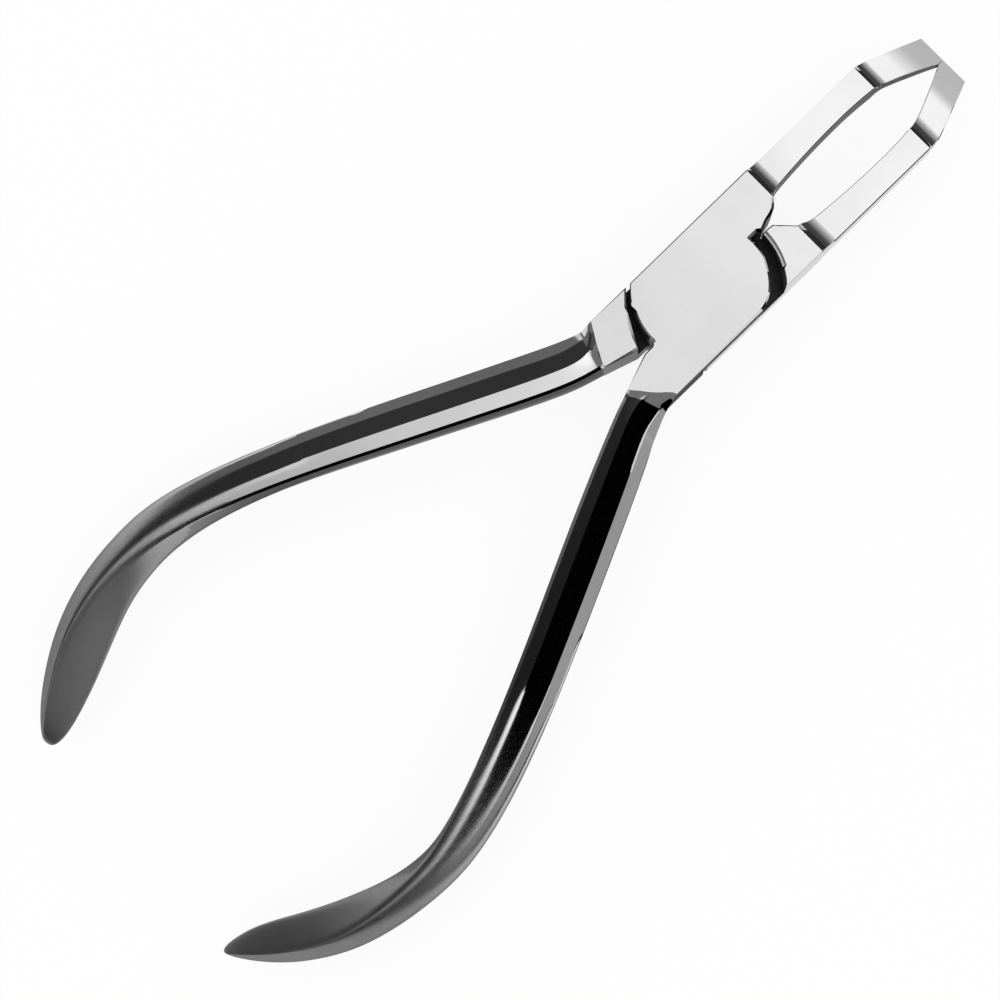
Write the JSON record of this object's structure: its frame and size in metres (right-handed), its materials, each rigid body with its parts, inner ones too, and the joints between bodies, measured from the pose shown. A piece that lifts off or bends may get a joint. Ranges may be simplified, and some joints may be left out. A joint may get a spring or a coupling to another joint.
{
  "type": "orthodontic bracket removing pliers",
  "caption": "Straight dental pliers with a flush riveted lap joint, flat beaks that close round a long loop on wide thin tips, and long bowed handles with paddle grips.",
  "frame": {"origin": "on the pivot axis, on the rear face of the joint, which the pliers rest on", "axes": "+X from the pivot towards the beak tips, +Y towards the front lever's beak, +Z out of the front face along the pivot axis"},
  "size_m": [0.1359, 0.0584, 0.009],
  "materials": {
    "polished_steel": "mirror polished stainless steel, satin towards the grips",
    "rivet_steel": "ground and polished flush with the joint faces"
  },
  "bodies": {
    "rear": {"rear_lever": "polished_steel", "pivot_rivet": "rivet_steel"},
    "front": {"front_lever": "polished_steel"}
  },
  "joints": [
    {"name": "pivot", "type": "hinge", "parent": "rear", "child": "front", "pos_m": [0, 0, 0.0045], "axis": [0, 0, 1], "range_deg": [0, 30]}
  ]
}
